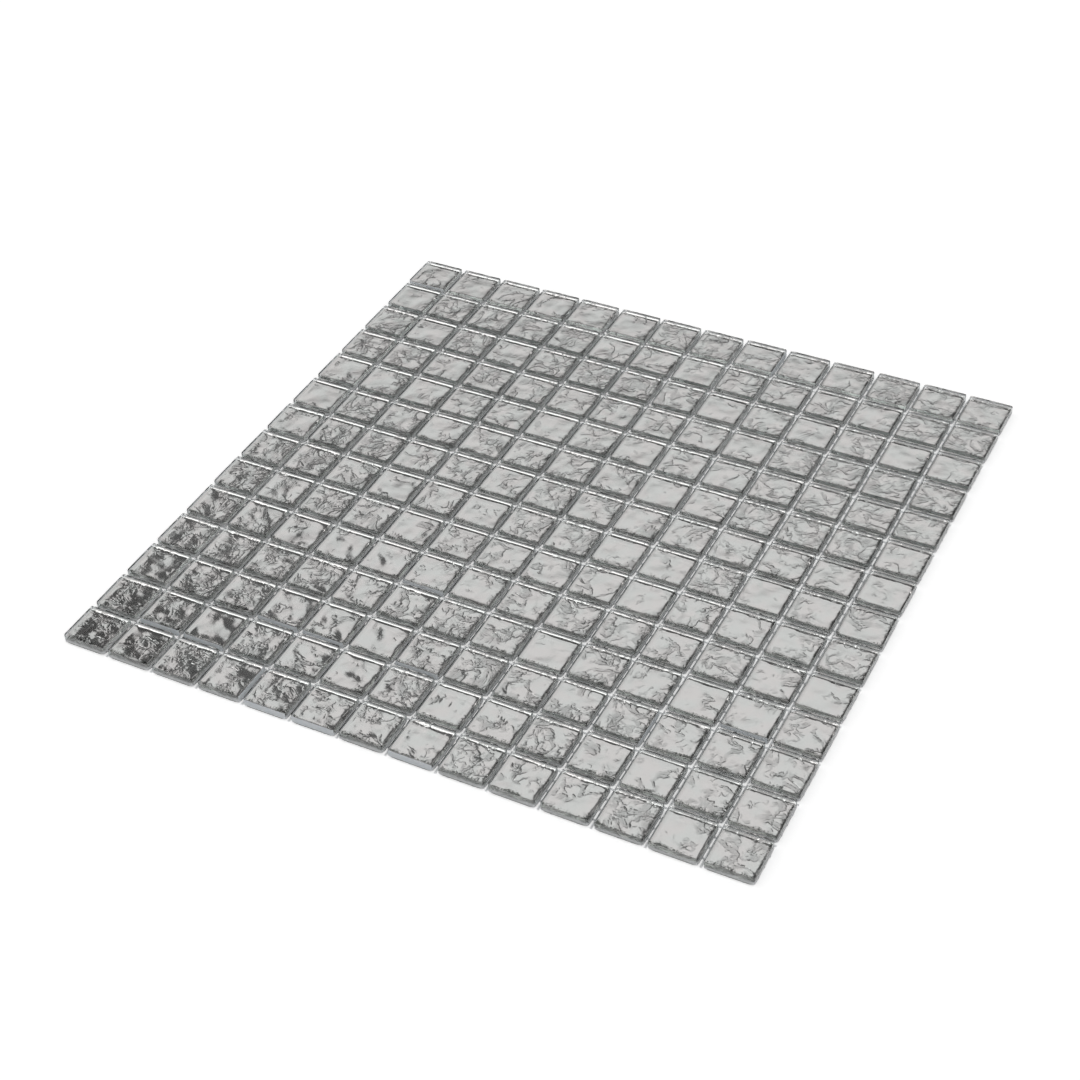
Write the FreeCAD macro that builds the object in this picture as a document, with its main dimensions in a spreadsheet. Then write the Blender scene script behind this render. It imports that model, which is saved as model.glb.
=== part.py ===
import FreeCAD, Part
import math
import os
import Sketcher

# Mosaic tile sheet: square clear glass tiles with silvered backs, laid by hand in rows and columns
# and glued face up to a net of flat strands, which is cut flush with the outer tiles.
# X runs along the rows, Y to the back row, Z up. The origin is the middle of the sheet's underside.

DOCUMENT = FreeCAD.newDocument("mosaic_tile_sheet")

# The driving dimensions, in millimetres, degrees or plain counts
SIZES = {
    "columns": 14,
    "rows": 14,
    "tile_side": 19.5,
    "joint_width": 2.0,
    "glass_thickness": 3.8,
    "corner_cut": 0.6,
    "arris_cut": 0.35,
    "silver_thickness": 0.1,
    "silver_clearance": 0.05,
    "strands_per_tile": 4,
    "strand_width": 0.8,
    "strand_thickness": 0.2,
    "lay_wander": 0.15,
    "lay_turn": 0.5,
}

# Sizes that follow from the driving ones
PITCH = "(sizes.tile_side + sizes.joint_width)"
SHEET_LENGTH = f"({PITCH} * sizes.columns - sizes.joint_width)"
SHEET_WIDTH = f"({PITCH} * sizes.rows - sizes.joint_width)"
STRAND_PITCH = f"({PITCH} / sizes.strands_per_tile)"
SILVER_SIDE = "(sizes.tile_side - sizes.corner_cut - 2 * sizes.silver_clearance)"
SILVER_LEVEL = "(2 * sizes.strand_thickness)"
GLASS_LEVEL = f"({SILVER_LEVEL} + sizes.silver_thickness)"

# The lay of each tile: a fixed number that looks like chance, from the tile's column and row
SCATTER_STEPS = (12.9898, 78.233, 37.719)
SCATTER_GAIN = 43758.5453
LAY_X, LAY_Y, LAY_TURN = range(3)


def add_sizes():
    """Writes the driving dimensions to the sheet, one named cell a line."""
    sheet = DOCUMENT.addObject("Spreadsheet::Sheet", "sizes")
    for line, (alias, value) in enumerate(SIZES.items(), start=1):
        sheet.set(f"A{line}", alias)
        sheet.set(f"B{line}", str(value))
        sheet.setAlias(f"B{line}", alias)
    DOCUMENT.recompute()
    return sheet


def add_rectangle(body, name, length, width):
    """Draws a rectangle centred on the sketch's origin, its two sides bound to the sheet."""
    sketch = body.newObject("Sketcher::SketchObject", name)
    floor_plane = next(plane for plane in body.Origin.OriginFeatures if plane.Role == "XY_Plane")
    sketch.AttachmentSupport = (floor_plane, [""])
    sketch.MapMode = "FlatFace"
    corners = [FreeCAD.Vector(x, y) for x, y in ((-1, -1), (1, -1), (1, 1), (-1, 1))]
    for start, end in zip(corners, corners[1:] + corners[:1]):
        sketch.addGeometry(Part.LineSegment(start, end))
    for side in range(4):
        sketch.addConstraint(Sketcher.Constraint("Coincident", side, 2, (side + 1) % 4, 1))
    for side in (0, 2):
        sketch.addConstraint(Sketcher.Constraint("Horizontal", side))
    for side in (1, 3):
        sketch.addConstraint(Sketcher.Constraint("Vertical", side))
    sketch.addConstraint(Sketcher.Constraint("Symmetric", 0, 1, 1, 2, -1, 1))
    for label, side, size in (("length", 0, length), ("width", 1, width)):
        index = sketch.addConstraint(Sketcher.Constraint("Distance", side, 2.0))
        sketch.renameConstraint(index, label)
        sketch.setExpression(f"Constraints.{label}", size)
    return sketch


def add_pad(body, sketch, thickness):
    """Raises the sketch to its thickness."""
    pad = body.newObject("PartDesign::Pad", f"{sketch.Name}_pad")
    pad.Profile = sketch
    pad.setExpression("Length", thickness)
    DOCUMENT.recompute()
    return pad


def add_chamfer(body, base, size, is_chosen):
    """Cuts the chosen edges of the base feature back by one size."""
    edges = [f"Edge{number}" for number, edge in enumerate(base.Shape.Edges, start=1) if is_chosen(edge)]
    chamfer = body.newObject("PartDesign::Chamfer", f"{base.Name}_chamfer")
    chamfer.Base = (base, edges)
    chamfer.setExpression("Size", size)
    DOCUMENT.recompute()
    return chamfer


def is_upright(edge):
    """Tells whether the edge runs up and down."""
    return edge.BoundBox.ZLength > 0 and edge.BoundBox.DiagonalLength - edge.BoundBox.ZLength < 1e-6


def make_glass_tile():
    """Models one clear glass tile: a square plate with eased corners and an eased upper arris."""
    body = DOCUMENT.addObject("PartDesign::Body", "glass_tile")
    outline = add_rectangle(body, "tile_outline", "sizes.tile_side", "sizes.tile_side")
    plate = add_pad(body, outline, "sizes.glass_thickness")
    eased = add_chamfer(body, plate, "sizes.corner_cut", is_upright)
    top = eased.Shape.BoundBox.ZMax
    add_chamfer(body, eased, "sizes.arris_cut", lambda edge: edge.BoundBox.ZMin > top - 1e-6)
    return body


def make_silver_back():
    """Models the thin silvered coat on the back of one tile, clear of the tile's cut corners."""
    body = DOCUMENT.addObject("PartDesign::Body", "silver_back")
    outline = add_rectangle(body, "silver_outline", SILVER_SIDE, SILVER_SIDE)
    add_pad(body, outline, "sizes.silver_thickness")
    return body


def scatter(column, row, use):
    """Returns a number from -1 to 1 that is the same each time for one tile and one use."""
    mixed = math.sin(sum(step * count for step, count in zip(SCATTER_STEPS, (column, row, use + 1))))
    return 2 * (mixed * SCATTER_GAIN % 1) - 1


def lay_row(master, label, row, columns, level):
    """Lays a row of like pieces, each a little off its place and a little turned, as one sub-part."""
    pieces = []
    for column in range(columns):
        piece = DOCUMENT.addObject("App::Link", f"{label}_piece")
        piece.LinkedObject = master
        drift_x, drift_y, turn = (f"{scatter(column, row, use):.3f}" for use in (LAY_X, LAY_Y, LAY_TURN))
        place_x = f"{PITCH} * ({column} - (sizes.columns - 1) / 2) + sizes.lay_wander * ({drift_x})"
        place_y = f"{PITCH} * ((sizes.rows - 1) / 2 - {row}) + sizes.lay_wander * ({drift_y})"
        piece.setExpression(".Placement.Base.x", place_x)
        piece.setExpression(".Placement.Base.y", place_y)
        piece.setExpression(".Placement.Base.z", level)
        piece.setExpression(".Placement.Rotation.Angle", f"sizes.lay_turn * ({turn})")
        pieces.append(piece)
    laid = DOCUMENT.addObject("Part::Compound", label)
    laid.Label = label
    laid.Links = pieces
    return laid


def make_strands(label, length, width, across, count, level):
    """Models one layer of the net: like flat strands side by side at the net's pitch."""
    body = DOCUMENT.addObject("PartDesign::Body", label)
    body.Label = label
    outline = add_rectangle(body, f"{label}_outline", length, width)
    offset = f"-{STRAND_PITCH} * ({count} - 1) / 2"
    outline.setExpression(f".AttachmentOffset.Base.{across}", offset)
    strand = add_pad(body, outline, "sizes.strand_thickness")
    pattern = body.newObject("PartDesign::LinearPattern", f"{label}_pattern")
    pattern.Originals = [strand]
    pattern.Direction = (outline, ["H_Axis" if across == "x" else "V_Axis"])
    pattern.setExpression("Length", f"{STRAND_PITCH} * ({count} - 1)")
    pattern.setExpression("Occurrences", count)
    body.Tip = pattern
    body.setExpression(".Placement.Base.z", level)
    return body


def make_net():
    """Makes the net that the tiles are glued to: weft strands below, warp strands on top of them."""
    warp_count = "(sizes.strands_per_tile * sizes.columns - 1)"
    weft_count = "(sizes.strands_per_tile * sizes.rows - 1)"
    warp = make_strands("net_warp_strands", "sizes.strand_width", SHEET_WIDTH, "x", warp_count,
                        "sizes.strand_thickness")
    weft = make_strands("net_weft_strands", SHEET_LENGTH, "sizes.strand_width", "y", weft_count, "0")
    return [warp, weft]


def make_sheet():
    """Lays all the rows on the net and returns the finished sub-parts."""
    sizes = add_sizes()
    columns, rows = int(sizes.columns), int(sizes.rows)
    glass_tile, silver_back = make_glass_tile(), make_silver_back()
    sub_parts = make_net()
    for row in range(rows):
        sub_parts.append(lay_row(glass_tile, f"glass_tiles_row_{row + 1:02d}", row, columns, GLASS_LEVEL))
        sub_parts.append(lay_row(silver_back, f"silver_backs_row_{row + 1:02d}", row, columns, SILVER_LEVEL))
    DOCUMENT.recompute()
    return sub_parts


def check(sub_parts):
    """Stops the build where an object or a shape has failed."""
    for thing in DOCUMENT.Objects:
        if {"Invalid", "Error"} & set(thing.State):
            raise RuntimeError(f"{thing.Name} is {thing.State}")
    for sub_part in sub_parts:
        if sub_part.Shape.isNull() or not sub_part.Shape.isValid() or not sub_part.Shape.Solids:
            raise RuntimeError(f"{sub_part.Label} has no valid solid")


def write(sub_parts):
    """Writes each sub-part's solids to a file named after its label."""
    os.makedirs("parts", exist_ok=True)
    for sub_part in sub_parts:
        Part.makeCompound(sub_part.Shape.Solids).exportStep(f"parts/{sub_part.Label}.step")
        box = sub_part.Shape.BoundBox
        print(f"{sub_part.Label}: {len(sub_part.Shape.Solids)} solids, {sub_part.Shape.Volume:.1f} mm3, "
              f"z {box.ZMin:.2f} to {box.ZMax:.2f}, x {box.XMin:.2f} to {box.XMax:.2f}, "
              f"y {box.YMin:.2f} to {box.YMax:.2f}")


finished = make_sheet()
check(finished)
write(finished)
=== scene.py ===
"""Dresses the mosaic tile sheet: clear glass tiles over rippled silver backs on a net of flat strands."""

import logging
import math
from dataclasses import dataclass, field
from enum import Enum
from typing import Any, Callable, Iterable, Union

import bmesh
import bpy
from mathutils import Matrix, Vector


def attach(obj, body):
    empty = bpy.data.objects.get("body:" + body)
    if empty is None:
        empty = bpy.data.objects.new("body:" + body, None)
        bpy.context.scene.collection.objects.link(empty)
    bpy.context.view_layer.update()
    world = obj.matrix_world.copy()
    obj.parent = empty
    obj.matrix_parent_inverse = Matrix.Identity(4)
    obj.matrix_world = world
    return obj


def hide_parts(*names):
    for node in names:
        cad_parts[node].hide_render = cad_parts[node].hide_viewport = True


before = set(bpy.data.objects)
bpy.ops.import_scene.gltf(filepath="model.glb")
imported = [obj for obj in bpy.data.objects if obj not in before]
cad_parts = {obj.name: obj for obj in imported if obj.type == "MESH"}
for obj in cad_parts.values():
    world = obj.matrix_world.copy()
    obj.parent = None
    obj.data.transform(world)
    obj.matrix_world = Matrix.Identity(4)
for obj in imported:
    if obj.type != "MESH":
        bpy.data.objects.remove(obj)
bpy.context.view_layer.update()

MM = 0.001
HAIR = 0.01 * MM
PITCH = 21.5 * MM
TILE_PLACE = "tile_place"
RIPPLE_GROUP = "face"
LOG = logging.getLogger("mosaic_tile_sheet")

Colour = tuple[float, float, float]
Offset = tuple[float, float, float]
Edge = tuple[float, ...]


class Slot(Enum):
    """The record's material slots of the glass and the silver."""

    GLASS = "clear_glass"
    SILVER = "silver_coat"


class Wire:
    """One value in a shader, with arithmetic that adds Math nodes."""

    def __init__(self, graph: "Graph", socket: bpy.types.NodeSocket) -> None:
        """Holds the socket that the value comes from.

        Args:
            graph: The graph that new nodes are added to.
            socket: The output socket of a node of that graph.
        """
        self.graph = graph
        self.socket = socket

    def math(self, operation: str, *others: Union[float, "Wire"]) -> "Wire":
        """Adds one Math node with this value first.

        Args:
            operation: The Math node's operation.
            others: The node's second and third values.

        Returns:
            The result as a new wire.
        """
        values = dict(enumerate((self, *others)))
        return self.graph.wire("ShaderNodeMath", {"operation": operation}, values)

    def __add__(self, other: Union[float, "Wire"]) -> "Wire":
        """Adds two values."""
        return self.math("ADD", other)

    def __radd__(self, other: float) -> "Wire":
        """Adds a number and this value."""
        return self.math("ADD", other)

    def __sub__(self, other: Union[float, "Wire"]) -> "Wire":
        """Takes a value from this one."""
        return self.math("SUBTRACT", other)

    def __rsub__(self, other: float) -> "Wire":
        """Takes this value from a number."""
        return self.graph.wire("ShaderNodeMath", {"operation": "SUBTRACT"}, {0: other, 1: self})

    def __mul__(self, other: Union[float, "Wire"]) -> "Wire":
        """Multiplies two values."""
        return self.math("MULTIPLY", other)

    def __rmul__(self, other: float) -> "Wire":
        """Multiplies a number and this value."""
        return self.math("MULTIPLY", other)

    def __abs__(self) -> "Wire":
        """Drops the sign."""
        return self.math("ABSOLUTE")

    def step(self, low: float, high: float, least: float = 0.0) -> "Wire":
        """Rises smoothly to 1 between two levels, the three values that an Edge holds.

        Args:
            low: The level that gives the least value.
            high: The level that gives 1, which may be the lower one.
            least: The least value.

        Returns:
            The mask as a new wire.
        """
        first, last = (least, 1.0) if low < high else (1.0, least)
        return self.graph.wire("ShaderNodeMapRange", {"interpolation_type": "SMOOTHSTEP"}, {
            "Value": self, "From Min": min(low, high), "From Max": max(low, high), "To Min": first, "To Max": last,
        })


class Graph:
    """The node tree of one material or of the world, built up in code."""

    def __init__(self, tree: bpy.types.NodeTree) -> None:
        """Empties the tree.

        Args:
            tree: The node tree to build in.
        """
        tree.nodes.clear()
        self.tree = tree

    def add(self, kind: str, settings: dict[str, Any], inputs: dict[Any, Any]) -> bpy.types.Node:
        """Adds any node.

        Args:
            kind: The node's type.
            settings: Its properties.
            inputs: The value or wire of each socket, by name or number.

        Returns:
            The new node.
        """
        node = self.tree.nodes.new(kind)
        for name, value in settings.items():
            setattr(node, name, value)
        for key, value in inputs.items():
            if isinstance(value, Wire):
                self.tree.links.new(value.socket, node.inputs[key])
            else:
                node.inputs[key].default_value = value
        return node

    def wire(self, kind: str, settings: dict[str, Any], inputs: dict[Any, Any],
             output: Union[int, str] = 0) -> Wire:
        """Adds any node and takes one of its outputs.

        Args:
            kind: The node's type.
            settings: Its properties.
            inputs: The value or wire of each socket.
            output: The output's number or name.

        Returns:
            That output as a wire.
        """
        return Wire(self, self.add(kind, settings, inputs).outputs[output])

    def place(self) -> Wire:
        """Reads the place on the object, in metres."""
        return self.wire("ShaderNodeTexCoord", {}, {}, "Object")

    def part(self, vector: Wire, axis: str) -> Wire:
        """Takes one part of a vector, "X", "Y" or "Z"."""
        return self.wire("ShaderNodeSeparateXYZ", {}, {"Vector": vector}, axis)

    def shift(self, place: Wire, offset: Offset) -> Wire:
        """Moves coordinates by a vector."""
        return self.wire("ShaderNodeVectorMath", {"operation": "ADD"}, {0: place, 1: offset})

    def noise(self, place: Wire, size: float, detail: float = 2.0, roughness: float = 0.5,
              swirl: float = 0.0) -> Wire:
        """Adds soft noise.

        Args:
            place: The coordinates.
            size: The size of its features, in metres.
            detail: How many finer layers it has.
            roughness: How strong the finer layers are.
            swirl: How far it is distorted.

        Returns:
            The noise, from 0 to 1.
        """
        return self.wire("ShaderNodeTexNoise", {}, {
            "Vector": place, "Scale": 1.0 / size, "Detail": detail, "Roughness": roughness, "Distortion": swirl,
        })

    def tile_place(self) -> tuple[Wire, Wire]:
        """Reads the place on the back's own tile, across and along, each from -1 to 1."""
        local = self.wire("ShaderNodeAttribute", {"attribute_name": TILE_PLACE}, {}, "Vector")
        return self.part(local, "X"), self.part(local, "Y")

    def tile_chance(self, place: Wire, salt: float) -> Wire:
        """Gives each tile of the grid a number of its own.

        Args:
            place: The coordinates on the object.
            salt: A number that sets one use apart from another.

        Returns:
            A number from 0 to 1, the same all over a tile.
        """
        in_tiles = self.wire("ShaderNodeVectorMath", {"operation": "SCALE"}, {0: place, "Scale": 1.0 / PITCH})
        flat = self.wire("ShaderNodeVectorMath", {"operation": "MULTIPLY"}, {0: in_tiles, 1: (1.0, 1.0, 0.0)})
        cell = self.wire("ShaderNodeVectorMath", {"operation": "FLOOR"}, {0: flat})
        salted = self.shift(cell, (0.0, 0.0, salt))
        return self.wire("ShaderNodeTexWhiteNoise", {"noise_dimensions": "3D"}, {"Vector": salted})

    def blend(self, share: Union[float, Wire], first: Union[Colour, Wire], second: Union[Colour, Wire]) -> Wire:
        """Mixes two colours.

        Args:
            share: How much of the second colour shows.
            first: The first colour or wire.
            second: The second colour or wire.

        Returns:
            The mixed colour.
        """
        node = self.add("ShaderNodeMix", {"data_type": "RGBA"}, {0: share})
        for socket, value in ((node.inputs[6], first), (node.inputs[7], second)):
            if isinstance(value, Wire):
                self.tree.links.new(value.socket, socket)
            else:
                socket.default_value = (*value, 1.0)
        return Wire(self, node.outputs[2])

    def bump(self, height: Wire, depth: float, strength: float = 1.0) -> Wire:
        """Turns a height into a normal.

        Args:
            height: The height, as a share of the depth.
            depth: How far a height of 1 stands out, in metres.
            strength: How much of the relief shows.

        Returns:
            The normal.
        """
        return self.wire("ShaderNodeBump", {}, {"Strength": strength, "Distance": depth, "Height": height})

    def matt(self, kind: str, colour: Colour) -> Wire:
        """Adds a matt shader of one colour, "Diffuse" or "Translucent"."""
        return self.wire(f"ShaderNodeBsdf{kind}", {}, {"Color": (*colour, 1.0)})

    def mix(self, share: Union[float, Wire], first: Wire, second: Wire) -> Wire:
        """Mixes two shaders, by the share of the second."""
        return self.wire("ShaderNodeMixShader", {}, {0: share, 1: first, 2: second})

    def finish(self, surface: Wire) -> None:
        """Joins the surface shader to the output."""
        self.add("ShaderNodeOutputMaterial", {}, {"Surface": surface})


def new_material(name: str) -> tuple[bpy.types.Material, Graph]:
    """Makes an empty material and the graph to build it in."""
    material = bpy.data.materials.new(name)
    material.use_nodes = True
    return material, Graph(material.node_tree)


class GlassFace(Enum):
    """The finishes of a tile's faces, in the order of its material slots."""

    POLISHED = 0
    CUT = 1
    FROSTED = 2


@dataclass(frozen=True)
class ClearGlass:
    """Clear glass with a slightly wavy, dusty face.

    Its cut edges are greyer and rougher, and have glue on them: none from milk_top up, most from milk_full down.
    """

    name: str = "clear_glass"
    tint: Colour = (0.93, 0.955, 0.945)
    dull: Colour = (0.86, 0.89, 0.88)
    roughness: float = 0.01
    dusty: float = 0.04
    dust_size: float = 1.1 * MM
    dust_levels: Edge = (0.55, 0.8)
    index: float = 1.5
    wave: float = 9 * MM
    wave_depth: float = 0.02 * MM
    milk: float = 0.0
    milk_top: float = 3.0 * MM
    milk_full: float = 1.5 * MM
    smear_size: float = 4 * MM
    smear_reach: float = 1.4 * MM
    glue_lit: Colour = (0.965, 0.97, 0.985)
    glue_through: Colour = (0.955, 0.965, 0.98)

    def build(self) -> bpy.types.Material:
        """Makes the material.

        Returns:
            The finished material.
        """
        material, graph = new_material(self.name)
        place = graph.place()
        dust = graph.noise(place, self.dust_size, detail=4.0, roughness=0.65).step(*self.dust_levels)
        glass = graph.wire("ShaderNodeBsdfPrincipled", {}, {
            "Base Color": graph.blend(dust, self.tint, self.dull),
            "Roughness": self.roughness + self.dusty * dust,
            "IOR": self.index,
            "Transmission Weight": 1.0,
            "Normal": graph.bump(graph.noise(place, self.wave, detail=1.0), self.wave_depth),
        })
        if self.milk:
            glass = graph.mix(self.milkiness(graph, place), glass, self.glue(graph))
        graph.finish(glass)
        return material

    def milkiness(self, graph: Graph, place: Wire) -> Wire:
        """Finds how thick the glue lies on the edge.

        Args:
            graph: The graph that the nodes are added to.
            place: The place on the object.

        Returns:
            The share of the glass that the glue hides.
        """
        smear = graph.noise(place, self.smear_size, detail=3.0, roughness=0.6)
        level = graph.part(place, "Z") + (smear - 0.5) * self.smear_reach
        return level.step(self.milk_top, self.milk_full) * self.milk

    def glue(self, graph: Graph) -> Wire:
        """Makes the thin white glue on the edge, which lets half of its light through."""
        return graph.mix(0.5, graph.matt("Diffuse", self.glue_lit), graph.matt("Translucent", self.glue_through))


@dataclass(frozen=True)
class FrostedEdge:
    """A cut edge left matt and milky, pale blue-grey."""

    name: str = "frosted_edge"
    milk: Colour = (0.94, 0.97, 1.0)
    shade: Colour = (0.87, 0.92, 0.97)
    cloud_size: float = 3 * MM
    cloud_levels: Edge = (0.35, 0.7)
    grain_size: float = 0.15 * MM
    grain_depth: float = 0.03 * MM
    roughness: float = 0.45
    cloud_roughness: float = 0.2
    glow: Colour = (0.92, 0.95, 0.98)
    glow_share: float = 0.45

    def build(self) -> bpy.types.Material:
        """Makes the material.

        Returns:
            The finished material.
        """
        material, graph = new_material(self.name)
        place = graph.place()
        cloud = graph.noise(place, self.cloud_size, detail=3.0, roughness=0.6)
        grain = graph.noise(place, self.grain_size)
        edge = graph.wire("ShaderNodeBsdfPrincipled", {}, {
            "Base Color": graph.blend(cloud.step(*self.cloud_levels), self.milk, self.shade),
            "Roughness": self.roughness + self.cloud_roughness * cloud,
            "Normal": graph.bump(grain, self.grain_depth, strength=0.6),
        })
        graph.finish(graph.mix(self.glow_share, edge, graph.matt("Translucent", self.glow)))
        return material


@dataclass(frozen=True)
class Creases:
    """One kind of crease: thin curved grooves that show in patches, and in more of them on a busy tile."""

    depth: float
    reach: float
    size: float
    detail: float
    roughness: float
    swirl: float
    offset: Offset
    patch_size: float
    patch_offset: Offset
    patch_gain: float
    patch_levels: Edge

    def mask(self, graph: Graph, place: Wire, busy: Wire) -> Wire:
        """Finds the grooves along the middle level of a noise.

        Args:
            graph: The graph that the nodes are added to.
            place: The place on the object.
            busy: How busy the tile is, from 0 to 1.

        Returns:
            A mask that is 1 along the middle of a groove.
        """
        moved = graph.shift(place, self.offset)
        groove = abs(graph.noise(moved, self.size, self.detail, self.roughness, self.swirl) - 0.5)
        patch = graph.noise(graph.shift(place, self.patch_offset), self.patch_size, detail=1.0)
        return groove.step(self.reach, 0.0) * (patch + self.patch_gain * busy).step(*self.patch_levels)


VEINS = Creases(
    depth=0.075, reach=0.075, size=9 * MM, detail=3.0, roughness=0.5, swirl=0.5, offset=(0.0, 0.0, 0.0),
    patch_size=12 * MM, patch_offset=(0.11, 0.0, 0.0), patch_gain=0.24, patch_levels=(0.54, 0.66))
BRANCHES = Creases(
    depth=0.032, reach=0.09, size=4 * MM, detail=2.0, roughness=0.45, swirl=0.3, offset=(0.3, 0.7, 0.0),
    patch_size=6 * MM, patch_offset=(0.0, 0.23, 0.0), patch_gain=0.2, patch_levels=(0.62, 0.74))


@dataclass(frozen=True)
class RippledSilver:
    """Silver on rippled glass: calm pale areas between dark curved creases, with small glints. The creases and the
    rims also have painted shade in their colour.

    Depths are in millimetres. The "least" and "gain" values give a relief's share on a calm tile and what a busy
    tile has on top of it.
    """

    name: str = "silver_coat"
    pale: Colour = (0.93, 0.9, 0.9)
    warm: Colour = (0.945, 0.89, 0.88)
    cool: Colour = (0.89, 0.9, 0.885)
    tint_size: float = 8 * MM
    tint_levels: Edge = (0.35, 0.65)
    tint_share: float = 0.55
    # painted shade: the grey that the silver's colour is darkened towards in the creases
    crease: Colour = (0.28, 0.28, 0.28)
    painted_crease_shade_share: float = 0.35
    roughness: float = 0.06
    crease_roughness: float = 0.08
    # painted shade: the dark grey painted along the front and right rims
    edge: Colour = (0.12, 0.125, 0.115)
    # painted shade: how much darker the silver is painted along the left edge
    painted_left_shade: float = 0.14
    painted_left_shade_levels: Edge = (-0.84, -0.95)
    front_rim: Edge = (-0.77, -0.83)
    right_rim: Edge = (0.87, 0.92)
    right_rag: float = 0.7
    rag_fine: float = 0.6 * MM
    rag_coarse: float = 6 * MM
    rag_shares: tuple[float, float] = (0.7, 0.45)
    back_edge: Edge = (0.97, 0.86, 0.62)
    left_edge: Edge = (-0.97, -0.88, 0.35)
    busy_salt: float = 3.0
    veins: Creases = VEINS
    branches: Creases = BRANCHES
    swell_size: float = 4.5 * MM
    swell_offset: Offset = (0.0, 0.0, 0.4)
    swell_depth: float = 0.12
    swell_least: float = 0.45
    swell_gain: float = 0.75
    hammer_size: float = 0.75 * MM
    hammer_patch: float = 9 * MM
    hammer_offset: Offset = (0.0, 0.6, 0.0)
    hammer_levels: Edge = (0.5, 0.7)
    hammer_depth: float = 0.07
    hammer_least: float = 0.08
    hammer_gain: float = 0.92
    bow_power: float = 5.0
    bow_depth: float = 0.12

    def build(self) -> bpy.types.Material:
        """Makes the material.

        Returns:
            The finished material.
        """
        material, graph = new_material(self.name)
        place = graph.place()
        busy = graph.tile_chance(place, self.busy_salt)
        across, along = graph.tile_place()
        calm = self.calm(across, along)
        vein, branch = (creases.mask(graph, place, busy) for creases in (self.veins, self.branches))
        raised = self.swell(graph, place, busy) + self.hammer(graph, place, busy) * calm
        height = (raised - vein * self.veins.depth - branch * self.branches.depth) * calm + self.bow(across)
        # the creases' mask: it paints shade into their colour and makes them rougher
        dark = vein.math("MAXIMUM", branch) * calm
        silver = graph.wire("ShaderNodeBsdfPrincipled", {}, {
            "Base Color": self.colour(graph, place, across, along, dark),
            "Metallic": 1.0,
            "Roughness": self.roughness + self.crease_roughness * dark,
            "Normal": graph.bump(height, MM),
        })
        graph.finish(silver)
        return material

    def swell(self, graph: Graph, place: Wire, busy: Wire) -> Wire:
        """Finds the height of the broad soft swells.

        Args:
            graph: The graph that the nodes are added to.
            place: The place on the object.
            busy: How busy the tile is, from 0 to 1.

        Returns:
            The height.
        """
        swell = graph.noise(graph.shift(place, self.swell_offset), self.swell_size, roughness=0.4)
        return swell * ((self.swell_least + self.swell_gain * busy) * self.swell_depth)

    def hammer(self, graph: Graph, place: Wire, busy: Wire) -> Wire:
        """Finds the height of the fine hammering, which comes in patches on the busy tiles.

        Args:
            graph: The graph that the nodes are added to.
            place: The place on the object.
            busy: How busy the tile is, from 0 to 1.

        Returns:
            The height.
        """
        patch = graph.noise(graph.shift(place, self.hammer_offset), self.hammer_patch, detail=1.0)
        share = self.hammer_least + self.hammer_gain * patch.step(*self.hammer_levels) * busy
        return graph.noise(place, self.hammer_size, detail=3.0, roughness=0.6) * (share * self.hammer_depth)

    def bow(self, across: Wire) -> Wire:
        """Finds the height of the upward bow near the right edge, from the place across the tile."""
        return across.math("MAXIMUM", 0.0).math("POWER", self.bow_power) * self.bow_depth

    def calm(self, across: Wire, along: Wire) -> Wire:
        """Finds the parts of each back that its relief leaves smoother, along the back and left edges.

        Args:
            across: The place across the tile, from -1 to 1.
            along: The place along the tile, from -1 to 1.

        Returns:
            A mask that is lowest on the smooth edges and 1 on the pressed face.
        """
        return along.step(*self.back_edge) * across.step(*self.left_edge)

    def colour(self, graph: Graph, place: Wire, across: Wire, along: Wire, dark: Wire) -> Wire:
        """Finds the colour: pale silver in two tints, with painted shade in the creases, a little along the left edge,
        and dark along the front and right rims.

        Args:
            graph: The graph that the nodes are added to.
            place: The place on the object.
            across: The place across the tile, from -1 to 1.
            along: The place along the tile, from -1 to 1.
            dark: The creases' mask, which sets their painted shade.

        Returns:
            The colour.
        """
        patches = graph.noise(place, self.tint_size, detail=1.0).step(*self.tint_levels)
        body = graph.blend(self.tint_share, self.pale, graph.blend(patches, self.warm, self.cool))
        # painted shade along the left edge
        painted_left_shade = self.painted_left_shade * across.step(*self.painted_left_shade_levels)
        # painted shade: darker in the creases, and a little along the left edge
        body = graph.blend((self.painted_crease_shade_share * dark).math("MAXIMUM", painted_left_shade), body, self.crease)
        # painted shade: dark along the front and right rims
        return graph.blend(self.painted_rim_shade(graph, place, across, along), body, self.edge)

    def painted_rim_shade(self, graph: Graph, place: Wire, across: Wire, along: Wire) -> Wire:
        """Finds the painted shade: a dark grey, ragged rim along the front and right edges.

        Args:
            graph: The graph that the nodes are added to.
            place: The place on the object.
            across: The place across the tile, from -1 to 1.
            along: The place along the tile, from -1 to 1.

        Returns:
            A mask that is 1 on the rim.
        """
        fine_share, coarse_share = self.rag_shares
        fine = graph.noise(place, self.rag_fine, detail=4.0, roughness=0.75)
        coarse = graph.noise(place, self.rag_coarse, detail=1.0)
        ragged = fine_share * fine + coarse_share * coarse - (fine_share + coarse_share) / 2
        front = (along + ragged).step(*self.front_rim)
        right = (across - self.right_rag * ragged).step(*self.right_rim)
        return front.math("MAXIMUM", right)


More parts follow.
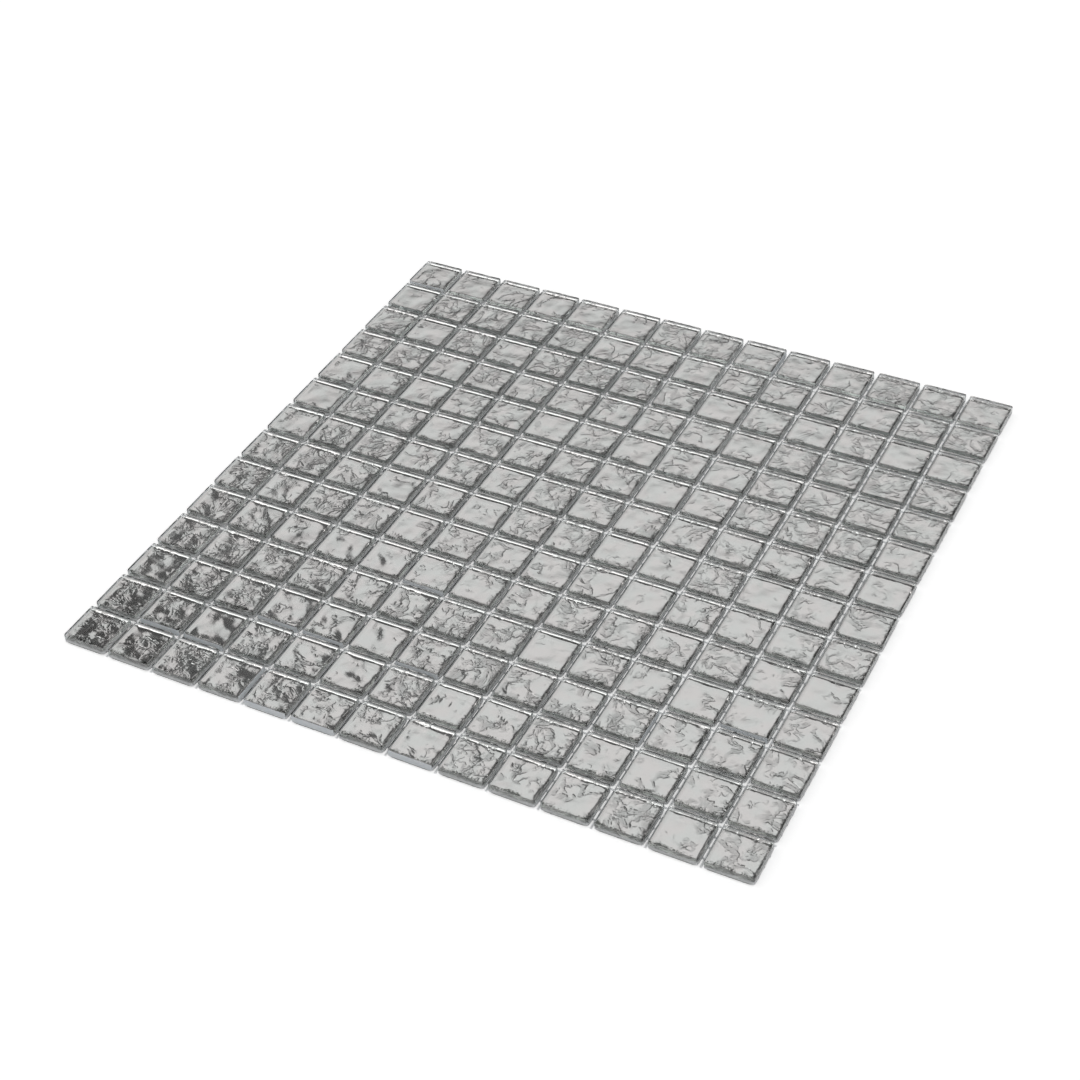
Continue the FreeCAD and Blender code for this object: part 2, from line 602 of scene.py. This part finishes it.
@dataclass(frozen=True)
class CoatedStrand:
    """White glass-fibre roving under a thin milky coat."""

    name: str = "net_strand"
    white: Colour = (0.95, 0.96, 0.97)
    grey: Colour = (0.87, 0.885, 0.91)
    patch_size: float = 2 * MM
    patch_levels: Edge = (0.4, 0.7)
    fibre_size: float = 0.12 * MM
    fibre_depth: float = 0.05 * MM
    roughness: float = 0.35
    patch_roughness: float = 0.3

    def build(self) -> bpy.types.Material:
        """Makes the material.

        Returns:
            The finished material.
        """
        material, graph = new_material(self.name)
        place = graph.place()
        patches = graph.noise(place, self.patch_size, detail=3.0)
        fibre = graph.noise(place, self.fibre_size)
        strand = graph.wire("ShaderNodeBsdfPrincipled", {}, {
            "Base Color": graph.blend(patches.step(*self.patch_levels), self.white, self.grey),
            "Roughness": self.roughness + self.patch_roughness * patches,
            "Normal": graph.bump(fibre, self.fibre_depth, strength=0.5),
        })
        graph.finish(strand)
        return material


@dataclass(frozen=True)
class Lay:
    """Where one tile lies: its middle and its turn about the upright axis."""

    x: float
    y: float
    turn: float

    def matrix(self) -> Matrix:
        """Gives the move from the sheet's middle to this place."""
        return Matrix.Translation((self.x, self.y, 0.0)) @ Matrix.Rotation(self.turn, 4, "Z")


def read_lays(node: bpy.types.Object) -> list[Lay]:
    """Reads each tile's lay from a row of the CAD model.

    Args:
        node: The CAD node of one row of glass tiles.

    Returns:
        One lay for each tile, from left to right.
    """
    points = [vertex.co for vertex in node.data.vertices]
    underside = min(point.z for point in points) + 0.1 * MM
    tile_reach = 0.95 * PITCH
    corners = sorted({(round(point.x, 7), round(point.y, 7)) for point in points if point.z < underside})
    groups: list[list[tuple[float, float]]] = []
    for corner in corners:
        if groups and corner[0] - groups[-1][0][0] < tile_reach:
            groups[-1].append(corner)
        else:
            groups.append([corner])
    lays = []
    for group in groups:
        front = sorted(sorted(group, key=lambda corner: corner[1])[:2])
        turn = math.atan2(front[1][1] - front[0][1], front[1][0] - front[0][0])
        x, y = (sum(corner[axis] for corner in group) / len(group) for axis in (0, 1))
        lays.append(Lay(x, y, turn))
    return lays


def is_upright(edge: bmesh.types.BMEdge) -> bool:
    """Tells whether an edge of a plain block runs up and down."""
    return abs(edge.verts[0].co.z - edge.verts[1].co.z) > MM


def deselect_all() -> None:
    """Leaves object mode with nothing selected."""
    if bpy.context.object and bpy.context.object.mode != "OBJECT":
        bpy.ops.object.mode_set(mode="OBJECT")
    bpy.ops.object.select_all(action="DESELECT")


def pick(obj: bpy.types.Object, domain: str, test: Callable[[Any], bool]) -> None:
    """Selects just the elements of the mesh in edit mode that pass a test.

    Args:
        obj: The object in edit mode.
        domain: "VERT", "EDGE" or "FACE".
        test: Says of an element whether it is selected.
    """
    bpy.ops.mesh.select_mode(type=domain)
    mesh = bmesh.from_edit_mesh(obj.data)
    for elements in (mesh.verts, mesh.edges, mesh.faces):
        for element in elements:
            element.select = False
    for element in {"VERT": mesh.verts, "EDGE": mesh.edges, "FACE": mesh.faces}[domain]:
        if test(element):
            element.select_set(True)
    mesh.select_flush_mode()
    bmesh.update_edit_mesh(obj.data)


def lay_copies(master: bpy.types.Object, lays: Iterable[Lay], name: str) -> bpy.types.Object:
    """Copies a master piece to each lay and joins the copies.

    Args:
        master: The piece modelled about the sheet's middle.
        lays: Where the copies go.
        name: The joined piece's name.

    Returns:
        The joined piece.
    """
    deselect_all()
    copies = []
    for lay in lays:
        copy = master.copy()
        copy.data = master.data.copy()
        copy.data.transform(lay.matrix())
        bpy.context.collection.objects.link(copy)
        copy.select_set(True)
        copies.append(copy)
    bpy.context.view_layer.objects.active = copies[0]
    bpy.ops.object.join()
    joined = bpy.context.object
    joined.name = name
    joined.data.name = name
    return joined


@dataclass
class GlassTiles:
    """The clear glass tiles, each with rounded corners and fire-polished arrises.

    The frosted edges are listed by the tile's row from the back and its column from the left, both from 1.
    """

    side: float = 19.5 * MM
    corner_radius: float = 0.9 * MM
    top_arris: float = 0.4 * MM
    back_arris: float = 0.25 * MM
    bottom: float = 0.5 * MM
    top: float = 4.3 * MM
    smooth_angle: float = 40.0
    side_slope: float = 0.1
    facing: float = 0.7
    frosted_fronts: tuple[tuple[int, int], ...] = (
        (1, 1), (10, 6), (11, 13), (12, 4), (12, 5), (12, 7), (13, 2), (13, 3), (14, 5), (14, 6), (14, 8))
    frosted_sides: tuple[tuple[int, int], ...] = ((1, 9), (12, 11), (14, 4))
    polished: ClearGlass = ClearGlass()
    cut: ClearGlass = ClearGlass(
        name="cut_glass_edge", tint=(0.54, 0.605, 0.575), dull=(0.46, 0.51, 0.485), roughness=0.05, dusty=0.12,
        wave=3 * MM, milk=0.9)
    frosted: FrostedEdge = FrostedEdge()

    def model(self) -> bpy.types.Object:
        """Models one tile about the sheet's middle.

        Returns:
            The tile.
        """
        deselect_all()
        middle = (self.top + self.bottom) / 2
        bpy.ops.mesh.primitive_cube_add(size=1.0, location=(0.0, 0.0, middle),
                                        scale=(self.side, self.side, self.top - self.bottom))
        tile = bpy.context.object
        bpy.ops.object.transform_apply(location=True, rotation=True, scale=True)
        bpy.ops.object.mode_set(mode="EDIT")
        pick(tile, "EDGE", is_upright)
        bpy.ops.mesh.bevel(offset=self.corner_radius, segments=2, affect="EDGES")
        pick(tile, "EDGE", lambda edge: min(vertex.co.z for vertex in edge.verts) > self.top - HAIR)
        bpy.ops.mesh.bevel(offset=self.top_arris, segments=2, affect="EDGES")
        pick(tile, "EDGE", lambda edge: max(vertex.co.z for vertex in edge.verts) < self.bottom + HAIR)
        bpy.ops.mesh.bevel(offset=self.back_arris, segments=1, affect="EDGES")
        bpy.ops.object.mode_set(mode="OBJECT")
        bpy.ops.object.shade_smooth_by_angle(angle=math.radians(self.smooth_angle))
        level = tile.modifiers.new("flat_faces", "WEIGHTED_NORMAL")
        level.keep_sharp = True
        bpy.ops.object.modifier_apply(modifier=level.name)
        for finish in (self.polished, self.cut, self.frosted):
            tile.data.materials.append(finish.build())
        for face in tile.data.polygons:
            face.material_index = (GlassFace.CUT if abs(face.normal.z) < self.side_slope else GlassFace.POLISHED).value
        return tile

    def frost(self, piece: bpy.types.Object, row: int, lays: list[Lay]) -> None:
        """Gives the milky finish to the edges of a row's tiles that have it.

        Args:
            piece: The joined tiles of one row.
            row: The row's number from the back, from 1.
            lays: The row's lays.
        """
        front, right = Vector((0.0, -1.0, 0.0)), Vector((1.0, 0.0, 0.0))
        for places, way in ((self.frosted_fronts, front), (self.frosted_sides, right)):
            middles = [lays[column - 1].x for line, column in places if line == row]
            for face in piece.data.polygons:
                near = any(abs(face.center.x - middle) < PITCH / 2 for middle in middles)
                if near and face.normal.dot(way) > self.facing and face.material_index == GlassFace.CUT.value:
                    face.material_index = GlassFace.FROSTED.value

    def lay(self, rows: dict[str, list[Lay]]) -> list[bpy.types.Object]:
        """Lays the tiles row by row in place of the plain solids.

        Args:
            rows: The lays of each row, by its CAD node.

        Returns:
            One piece for each row.
        """
        master = self.model()
        pieces = []
        for row, (node, lays) in enumerate(rows.items(), start=1):
            piece = lay_copies(master, lays, f"polished_{node}")
            self.frost(piece, row, lays)
            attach(piece, "root")
            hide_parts(node)
            LOG.info("%s: %d tiles", piece.name, len(lays))
            pieces.append(piece)
        bpy.data.objects.remove(master)
        return pieces


@dataclass
class SilverBacks:
    """The silvered backs: rippled plates whose edges curl up round the glass's back arris.

    lip_start is the lip's first slope as a share of its width. The ripple fades out over fade towards the edge.
    """

    side: float = 19.4 * MM
    corner_radius: float = 2.1 * MM
    corner_segments: int = 4
    trim_height: float = 4 * MM
    smooth_angle: float = 50.0
    lip_width: float = 1.6 * MM
    lip_start: float = 0.032
    lip_height: float = 0.325 * MM
    lip_rings: int = 4
    fade: float = 1.6 * MM
    fade_least: float = 0.2
    cells: int = 16
    under: float = 0.4 * MM
    level: float = 0.62 * MM
    ripple: float = 0.4 * MM
    ripple_size: float = 8.0 * MM
    material: bpy.types.Material = field(default_factory=lambda: RippledSilver().build())

    def model(self) -> bpy.types.Object:
        """Models one back before its ripples: a fine flat grid with a rising lip, closed underneath.

        Returns:
            The back, with a vertex group on what the ripples move.
        """
        deselect_all()
        calm = self.side - 2 * self.lip_width
        bpy.ops.mesh.primitive_grid_add(x_subdivisions=self.cells, y_subdivisions=self.cells, size=calm,
                                        location=(0.0, 0.0, self.level))
        back = bpy.context.object
        bpy.ops.object.transform_apply(location=True, rotation=True, scale=True)
        group = back.vertex_groups.new(name=RIPPLE_GROUP)
        group.add(range(len(back.data.vertices)), 1.0, "REPLACE")
        bpy.ops.object.mode_set(mode="EDIT")
        reach, height = calm / 2, 0.0
        start = self.lip_start * self.lip_width
        for ring in range(1, self.lip_rings + 1):
            share = ring / self.lip_rings
            new_reach = calm / 2 + self.lip_width * share
            new_height = start * share + (self.lip_height - start) * share * share
            self.pick_rim(back)
            bpy.ops.mesh.extrude_region_move(TRANSFORM_OT_translate={"value": (0.0, 0.0, new_height - height)})
            grow = new_reach / reach
            bpy.ops.transform.resize(value=(grow, grow, 1.0))
            reach, height = new_reach, new_height
        self.pick_rim(back)
        bpy.ops.mesh.extrude_region_move(
            TRANSFORM_OT_translate={"value": (0.0, 0.0, self.under - self.level - height)})
        bpy.ops.mesh.edge_face_add()
        bpy.ops.mesh.select_all(action="SELECT")
        bpy.ops.mesh.normals_make_consistent(inside=False)
        bpy.ops.object.mode_set(mode="OBJECT")
        self.round_corners(back)
        self.weigh(back)
        bpy.ops.object.shade_smooth_by_angle(angle=math.radians(self.smooth_angle))
        return back

    @staticmethod
    def pick_rim(back: bpy.types.Object) -> None:
        """Selects the open edges of the sheet being modelled."""
        pick(back, "EDGE", lambda edge: edge.is_boundary)

    def round_corners(self, back: bpy.types.Object) -> None:
        """Trims the four corners round, a little inside the corners of the glass.

        Args:
            back: The square back.
        """
        deselect_all()
        bpy.ops.mesh.primitive_cube_add(size=1.0, location=(0.0, 0.0, self.level),
                                        scale=(self.side, self.side, self.trim_height))
        trim = bpy.context.object
        bpy.ops.object.transform_apply(location=True, rotation=True, scale=True)
        bpy.ops.object.mode_set(mode="EDIT")
        pick(trim, "EDGE", is_upright)
        bpy.ops.mesh.bevel(offset=self.corner_radius, segments=self.corner_segments, affect="EDGES")
        deselect_all()
        back.select_set(True)
        bpy.context.view_layer.objects.active = back
        cut = back.modifiers.new("round_corners", "BOOLEAN")
        cut.operation = "INTERSECT"
        cut.solver = "EXACT"
        cut.object = trim
        bpy.ops.object.modifier_apply(modifier=cut.name)
        bpy.data.objects.remove(trim)

    def weigh(self, back: bpy.types.Object) -> None:
        """Weights the ripple group and notes each point's place on its tile, from -1 to 1 each way.

        The ripple is full on the middle, fades towards the lip and is left out underneath.

        Args:
            back: The finished back.
        """
        group = back.vertex_groups[RIPPLE_GROUP]
        places = back.data.attributes.new(TILE_PLACE, "FLOAT_VECTOR", "POINT")
        for vertex in back.data.vertices:
            edge_way = self.side / 2 - max(abs(vertex.co.x), abs(vertex.co.y))
            weight = min(1.0, max(self.fade_least, (edge_way - self.lip_width / 2) / self.fade))
            group.add([vertex.index], 0.0 if vertex.co.z < self.level - HAIR else weight, "REPLACE")
            places.data[vertex.index].vector = vertex.co * (2 / self.side)

    def ripple_all(self, piece: bpy.types.Object) -> None:
        """Presses the ripples into a laid row.

        Args:
            piece: The joined backs of one row.
        """
        texture = bpy.data.textures.get("press_ripple") or bpy.data.textures.new("press_ripple", "CLOUDS")
        texture.noise_scale = self.ripple_size
        texture.noise_depth = 1
        deselect_all()
        piece.select_set(True)
        bpy.context.view_layer.objects.active = piece
        press = piece.modifiers.new("ripple", "DISPLACE")
        press.texture = texture
        press.texture_coords = "LOCAL"
        press.direction = "Z"
        press.strength = self.ripple
        press.mid_level = 0.5
        press.vertex_group = RIPPLE_GROUP
        bpy.ops.object.modifier_apply(modifier=press.name)

    def lay(self, rows: dict[str, list[Lay]]) -> list[bpy.types.Object]:
        """Lays the backs under the tiles in place of the plain solids.

        Args:
            rows: The lays of each row, by its CAD node of glass tiles.

        Returns:
            One piece for each row.
        """
        master = self.model()
        master.data.materials.append(self.material)
        pieces = []
        for glass_node, lays in rows.items():
            node = glass_node.replace("glass_tiles", "silver_backs")
            piece = lay_copies(master, lays, f"rippled_{node}")
            self.ripple_all(piece)
            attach(piece, "root")
            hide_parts(node)
            LOG.info("%s: %d faces", piece.name, len(piece.data.polygons))
            pieces.append(piece)
        bpy.data.objects.remove(master)
        return pieces


@dataclass
class Net:
    """The net under the tiles, which keeps its two CAD layers."""

    material: bpy.types.Material = field(default_factory=lambda: CoatedStrand().build())

    def dress(self) -> None:
        """Gives both layers of strands their finish."""
        for name in ("net_warp_strands", "net_weft_strands"):
            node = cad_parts[name]
            node.data.materials.clear()
            node.data.materials.append(self.material)
            LOG.info("%s dressed", name)


@dataclass(frozen=True)
class Zone:
    """One soft-edged zone of the surroundings: its level, and where it starts and ends each way.

    A direction from the sheet has three parts: across to the right, back, and height. Each edge goes from where
    the zone is nothing to where it is full.
    """

    level: float
    across: tuple[Edge, ...] = ()
    back: tuple[Edge, ...] = ()
    height: tuple[Edge, ...] = ()

    def read(self, ways: tuple[Wire, Wire, Wire], share: Union[float, Wire] = 1.0) -> Wire:
        """Finds the zone's level in each direction.

        Args:
            ways: The three parts of the direction.
            share: What the level is multiplied by.

        Returns:
            The level, 0 outside the zone.
        """
        level = self.level * share
        for way, edges in zip(ways, (self.across, self.back, self.height)):
            for edge in edges:
                level = way.step(*edge) * level
        return level


@dataclass
class Studio:
    """The white floor, the soft surroundings and the camera.

    The surroundings are a dome overhead and to the front, a panel low at the back, a bright strip over the left, a
    weak key light to the front right and a side light at the far left. The panel has a dark sector to the left.
    """

    azimuth: float = 29.153
    elevation: float = 40.534
    roll: float = -3.232
    distance: float = 858.2 * MM
    aim: tuple[float, float, float] = (-3.54 * MM, -14.38 * MM, 0.0)
    lens_pixels: float = 2041.2
    frame_pixels: float = 1080.0
    sensor_width: float = 36.0
    floor_side: float = 12.0
    floor_level: float = -0.02 * MM
    floor_colour: Colour = (0.9, 0.9, 0.9)
    floor_glow: float = 0.43
    ambient: float = 0.04
    panel: Zone = Zone(0.65, back=((0.33, 0.43),), height=((0.0, 0.1),))
    dome: Zone = Zone(0.6, height=((0.0, 0.2),))
    strip: Zone = Zone(1.0, across=((-0.85, -0.8), (-0.22, -0.34)), back=((-0.2, -0.15), (0.18, 0.13)))
    key: Zone = Zone(0.4, across=((0.1, 0.3),), back=((0.3, 0.1),), height=((0.1, 0.3),))
    side: Zone = Zone(0.4, across=((-0.68, -0.78),), height=((0.05, 0.2), (0.65, 0.5)))
    panel_rise: Edge = (0.25, 0.72, 0.35)
    strip_rise: Edge = (-0.44, -0.5, 0.85)
    dome_end: Edge = (0.13, 0.08)
    dome_reach: tuple[Zone, Zone] = (Zone(0.12, across=((-0.3, -0.15),)), Zone(0.25, across=((-0.6, -0.7),)))
    dome_dim: Zone = Zone(0.4, across=((-0.36, -0.27), (-0.14, -0.2)))
    dark_sector: tuple[float, float] = (43.0, 60.0)
    sector_start: Edge = (-0.05, 0.04)
    sector_end: Edge = (0.06, -0.04, 0.4)
    dark_depth: float = 0.96

    def build_camera(self) -> None:
        """Places the camera at the photo's viewpoint."""
        azimuth, elevation, roll = (math.radians(a) for a in (self.azimuth, self.elevation, self.roll))
        back = Vector((math.sin(azimuth) * math.cos(elevation), -math.cos(azimuth) * math.cos(elevation),
                       math.sin(elevation)))
        right = Vector((math.cos(azimuth), math.sin(azimuth), 0.0))
        up = back.cross(right)
        turned_right = right * math.cos(roll) + up * math.sin(roll)
        turned_up = up * math.cos(roll) - right * math.sin(roll)
        camera = bpy.data.objects.new("camera", bpy.data.cameras.new("camera"))
        camera.data.sensor_width = self.sensor_width
        camera.data.lens = self.lens_pixels / self.frame_pixels * self.sensor_width
        camera.data.clip_start = 0.01
        camera.data.clip_end = 100.0
        axes = Matrix((turned_right, turned_up, back)).transposed().to_4x4()
        camera.matrix_world = Matrix.Translation(Vector(self.aim) + back * self.distance) @ axes
        bpy.context.collection.objects.link(camera)
        bpy.context.scene.camera = camera

    def build_floor(self) -> None:
        """Lays a plain white floor that keeps a soft shadow."""
        deselect_all()
        bpy.ops.mesh.primitive_plane_add(size=self.floor_side, location=(0.0, 0.0, self.floor_level))
        floor = bpy.context.object
        floor.name = "floor"
        bpy.ops.object.transform_apply(location=True, rotation=True, scale=True)
        material, graph = new_material("white_floor")
        rays = ("Is Camera Ray", "Is Glossy Ray", "Is Transmission Ray")
        seen, glossy, through = (graph.wire("ShaderNodeLightPath", {}, {}, ray) for ray in rays)
        share = (seen + glossy + through).math("MINIMUM", 1.0)
        glow = graph.wire("ShaderNodeEmission", {}, {
            "Color": (1.0, 1.0, 1.0, 1.0), "Strength": self.floor_glow * share,
        })
        graph.finish(graph.wire("ShaderNodeAddShader", {}, {0: graph.matt("Diffuse", self.floor_colour), 1: glow}))
        floor.data.materials.append(material)

    def dark_share(self, across: Wire, back: Wire) -> Wire:
        """Finds the panel's dark sector, which begins sharply and ends half dark.

        Args:
            across: The direction's part to the right.
            back: The direction's part to the back.

        Returns:
            A mask that is 1 in the darkest part.
        """
        turns = (math.radians(turn) for turn in self.dark_sector)
        starts, ends = (across * -math.cos(turn) - back * math.sin(turn) for turn in turns)
        return starts.step(*self.sector_start) * ends.step(*self.sector_end)

    def dome_share(self, ways: tuple[Wire, Wire, Wire]) -> Wire:
        """Finds where the dome ends at the back, further on at the sides, and its dimmer part overhead.

        Args:
            ways: The three parts of the direction.

        Returns:
            The share of the dome's level.
        """
        right_reach, left_reach = (zone.read(ways) for zone in self.dome_reach)
        back = ways[1] - (right_reach + left_reach)
        return back.step(*self.dome_end) * (1.0 - self.dome_dim.read(ways))

    def light(self, graph: Graph) -> Wire:
        """Adds up the soft lights for each direction.

        Args:
            graph: The world's graph.

        Returns:
            The level of the light.
        """
        way = graph.wire("ShaderNodeTexCoord", {}, {}, "Generated")
        ways = across, back, height = graph.part(way, "X"), graph.part(way, "Y"), graph.part(way, "Z")
        dark = self.dark_depth * self.dark_share(across, back)
        panel = self.panel.read(ways, height.step(*self.panel_rise) * (1.0 - dark))
        dome = self.dome.read(ways, self.dome_share(ways))
        strip = self.strip.read(ways, across.step(*self.strip_rise))
        return self.ambient + panel + dome + strip + self.key.read(ways) + self.side.read(ways)

    def build_world(self) -> None:
        """Surrounds the sheet with the soft lights, which the camera sees as plain white."""
        world = bpy.data.worlds.new("studio")
        bpy.context.scene.world = world
        world.use_nodes = True
        graph = Graph(world.node_tree)
        camera_ray = graph.wire("ShaderNodeLightPath", {}, {}, "Is Camera Ray")
        light, seen = (
            graph.wire("ShaderNodeBackground", {}, {"Color": (1.0, 1.0, 1.0, 1.0), "Strength": level})
            for level in (self.light(graph), 1.0))
        graph.add("ShaderNodeOutputWorld", {}, {"Surface": graph.mix(camera_ray, light, seen)})

    def build(self) -> None:
        """Builds the whole studio."""
        self.build_floor()
        self.build_world()
        self.build_camera()
        bpy.context.scene.view_settings.view_transform = "Standard"


def main() -> None:
    """Dresses every node and builds the studio round the sheet."""
    logging.basicConfig(level=logging.INFO, format="%(message)s")
    nodes = sorted(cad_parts.items())
    rows = {name: read_lays(node) for name, node in nodes if name.startswith("glass_tiles")}
    GlassTiles().lay(rows)
    SilverBacks().lay(rows)
    Net().dress()
    Studio().build()


if __name__ == "__main__":
    main()
